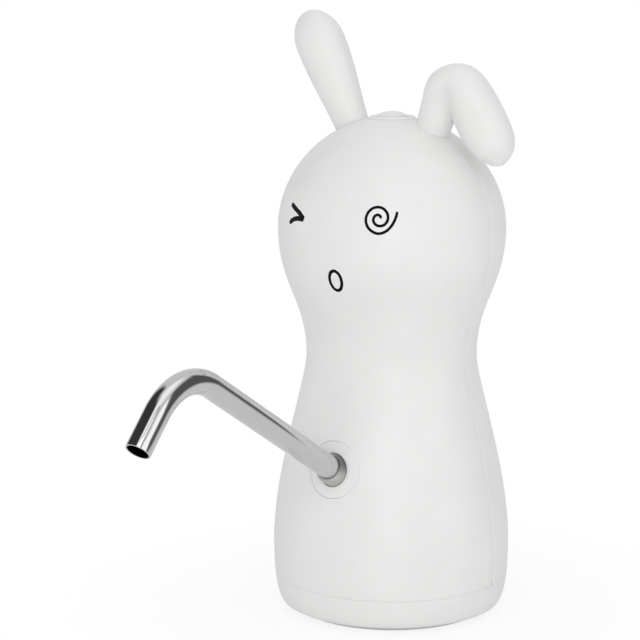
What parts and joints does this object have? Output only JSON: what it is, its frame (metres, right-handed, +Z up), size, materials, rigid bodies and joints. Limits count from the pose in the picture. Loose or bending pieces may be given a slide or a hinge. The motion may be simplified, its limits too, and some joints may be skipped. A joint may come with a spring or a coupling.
{
  "type": "electric water jug pump",
  "caption": "Rabbit-shaped battery pump that sits on a water jug's neck, with a push button on the crown and a steel spout.",
  "frame": {"origin": "centre of the plane the foot stands on, in the middle of the socket for the jug's neck", "axes": "+Z up, -Y towards the spout, +X towards the folded ear"},
  "size_m": [0.0812, 0.1692, 0.1909],
  "materials": {
    "shell_plastic": "satin moulded white",
    "inner_plastic": "moulded off-white",
    "seal_rubber": "soft pale grey",
    "sleeve_silicone": "soft grey silicone",
    "spout_steel": "mirror-polished stainless steel",
    "plated_steel": "zinc plated",
    "gear_nylon": "natural nylon",
    "ferrite": "dull sintered",
    "copper_winding": "lacquered copper",
    "circuit_green": "solder resist",
    "cell_wrap": "shrink wrap",
    "black_plastic": "moulded black",
    "black_rubber": "soft black foam rubber",
    "wire_red": "satin insulation",
    "wire_black": "satin insulation",
    "lamp_clear": "clear moulded"
  },
  "bodies": {
    "casing": {"foot_pad": "seal_rubber", "foot_ring": "shell_plastic", "neck_socket": "inner_plastic", "neck_seal": "seal_rubber", "inlet_nipple": "inner_plastic", "nipple_nut": "inner_plastic", "inlet_seal": "seal_rubber", "foot_screw_1": "plated_steel", "foot_screw_2": "plated_steel", "foot_screw_3": "plated_steel", "deck_screw_1": "plated_steel", "deck_screw_2": "plated_steel", "deck_screw_3": "plated_steel", "deck_screw_4": "plated_steel", "front_shell": "shell_plastic", "rear_shell": "shell_plastic", "upright_ear": "shell_plastic", "folded_ear": "shell_plastic", "button_bezel": "shell_plastic", "button_spring": "plated_steel", "switch_board": "circuit_green", "switch_screw_1": "plated_steel", "switch_screw_2": "plated_steel", "switch_body": "black_plastic", "spout_socket": "shell_plastic", "outlet_hose": "seal_rubber", "hose_clip_pump": "plated_steel", "hose_clip_spout": "plated_steel", "pump_body": "inner_plastic", "pump_cover": "inner_plastic", "idler_pin": "plated_steel", "pump_screw_1": "plated_steel", "pump_screw_2": "plated_steel", "motor_can": "plated_steel", "motor_cap": "black_plastic", "motor_magnet_1": "ferrite", "motor_magnet_2": "ferrite", "damping_sleeve": "black_rubber", "battery_cell": "cell_wrap", "battery_cradle": "inner_plastic", "cradle_screw_1": "plated_steel", "cradle_screw_2": "plated_steel", "circuit_board": "circuit_green", "board_screw_1": "plated_steel", "board_screw_2": "plated_steel", "charge_socket": "plated_steel", "lamp_window": "lamp_clear", "motor_wire_red": "wire_red", "motor_wire_black": "wire_black", "cell_wire_red": "wire_red", "cell_wire_black": "wire_black", "switch_wire": "wire_black"},
    "button": {"button_cap": "shell_plastic", "switch_plunger": "black_plastic"},
    "sleeve": {"spout_sleeve": "sleeve_silicone"},
    "spout": {"spout_tube": "spout_steel"},
    "rotor": {"motor_rotor": "copper_winding", "drive_gear": "gear_nylon"},
    "idler": {"idler_gear": "gear_nylon"}
  },
  "joints": [
    {"name": "button_push", "type": "slide", "parent": "casing", "child": "button", "axis": [0, 0, -1], "range_m": [0, 0.001], "stiffness_N_per_m": 600, "springref_m": -0.0015, "deforming": ["button_spring"]},
    {"name": "spout_swivel", "type": "hinge", "parent": "casing", "child": "sleeve", "pos_m": [0, -0.03405, 0.0509], "axis": [0, -0.8572, 0.515], "continuous": true},
    {"name": "spout_pull", "type": "slide", "parent": "sleeve", "child": "spout", "axis": [0, -0.8572, 0.515], "range_m": [0, 0.01]},
    {"name": "rotor_spin", "type": "hinge", "parent": "casing", "child": "rotor", "pos_m": [-0.006, 0.0098, 0], "axis": [0, 0, 1], "continuous": true},
    {"name": "idler_spin", "type": "hinge", "parent": "casing", "child": "idler", "pos_m": [0.006, 0.0098, 0], "axis": [0, 0, 1], "continuous": true}
  ],
  "couplings": [
    {"joint": "idler_spin", "follows": "rotor_spin", "ratio": -1}
  ]
}
